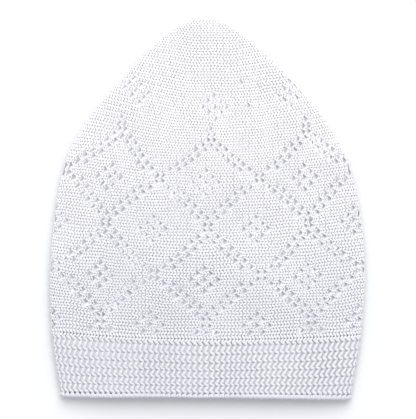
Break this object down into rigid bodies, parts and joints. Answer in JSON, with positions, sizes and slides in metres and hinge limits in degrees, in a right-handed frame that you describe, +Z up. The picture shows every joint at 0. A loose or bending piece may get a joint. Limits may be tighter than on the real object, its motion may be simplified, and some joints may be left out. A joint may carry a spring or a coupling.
{
  "type": "prayer cap",
  "caption": "Tall pointed lace-knit prayer cap lying flat, white cotton, with eyelet diamonds over the crown and a ribbed welt round the open mouth.",
  "frame": {"origin": "on the table, under the middle of the cap as it lies", "axes": "+X across the cap from fold to fold, +Y from the mouth edge to the pointed tip, +Z up through the upper layer"},
  "size_m": [0.1812, 0.2212, 0.0122],
  "materials": {
    "crown_knit": "fine white cotton lace knitting, matt, with eyelet holes in diamonds",
    "welt_knit": "loose deep white cotton knitting in horizontal ribs, matt"
  },
  "bodies": {
    "root": {"crown": "crown_knit", "brim_band": "welt_knit"}
  },
  "joints": []
}
